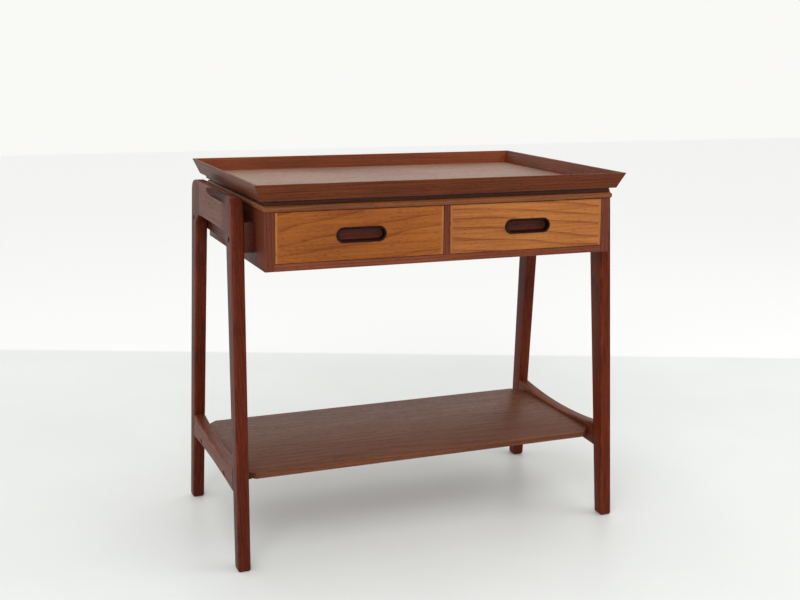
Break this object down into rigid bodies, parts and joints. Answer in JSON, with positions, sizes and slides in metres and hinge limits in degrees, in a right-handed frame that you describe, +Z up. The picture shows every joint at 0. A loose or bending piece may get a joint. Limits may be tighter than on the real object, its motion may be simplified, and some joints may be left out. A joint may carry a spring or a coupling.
{
  "type": "sewing table",
  "caption": "Sewing table with a flared tray top, a case of sliding drawers with sunk finger pulls, splayed side frames with arched rails, and a low shelf.",
  "frame": {"origin": "floor level, under the middle of the tray", "axes": "+X along the length, toward the right as seen from the front; the drawers open toward -Y; +Z up"},
  "size_m": [0.675, 0.435, 0.614],
  "materials": {
    "tray_teak": "oiled teak, mid reddish brown, worn paler along the thin top edges",
    "top_veneer": "oiled teak veneer with a satin sheen",
    "case_teak": "oiled teak, mid brown",
    "frame_teak": "oiled solid teak, dark reddish brown, satin",
    "drawer_front_teak": "oiled golden teak, grain along the length",
    "pull_dark_wood": "dark reddish wood, satin, species not known",
    "drawer_box_wood": "pale bare wood, matt; not seen, guessed",
    "screw_metal": "dulled, slotted; the heads look brown, brass is a guess"
  },
  "bodies": {
    "table": {"tray_floor": "top_veneer", "tray_plinth": "tray_teak", "tray_rim_front": "tray_teak", "tray_rim_back": "tray_teak", "tray_rim_left": "tray_teak", "tray_rim_right": "tray_teak", "case_top": "case_teak", "case_side_left": "case_teak", "case_side_right": "case_teak", "case_bottom": "case_teak", "case_divider": "case_teak", "case_back": "case_teak", "drawer_stops": "drawer_box_wood", "leg_front_left": "frame_teak", "leg_back_left": "frame_teak", "head_rail_left": "frame_teak", "stretcher_left": "frame_teak", "spacer_left": "frame_teak", "shelf_cleat_left": "frame_teak", "leg_front_right": "frame_teak", "leg_back_right": "frame_teak", "head_rail_right": "frame_teak", "stretcher_right": "frame_teak", "spacer_right": "frame_teak", "shelf_cleat_right": "frame_teak", "frame_screws": "screw_metal", "shelf": "top_veneer"},
    "drawer_left": {"drawer_left_front": "drawer_front_teak", "drawer_left_side_a": "drawer_box_wood", "drawer_left_side_b": "drawer_box_wood", "drawer_left_back": "drawer_box_wood", "drawer_left_bottom": "drawer_box_wood", "drawer_left_pull": "pull_dark_wood"},
    "drawer_right": {"drawer_right_front": "drawer_front_teak", "drawer_right_side_a": "drawer_box_wood", "drawer_right_side_b": "drawer_box_wood", "drawer_right_back": "drawer_box_wood", "drawer_right_bottom": "drawer_box_wood", "drawer_right_pull": "pull_dark_wood"}
  },
  "joints": [
    {"name": "drawer_left_slide", "type": "slide", "parent": "table", "child": "drawer_left", "axis": [0, -1, 0], "range_m": [0, 0.25]},
    {"name": "drawer_right_slide", "type": "slide", "parent": "table", "child": "drawer_right", "axis": [0, -1, 0], "range_m": [0, 0.25]}
  ]
}
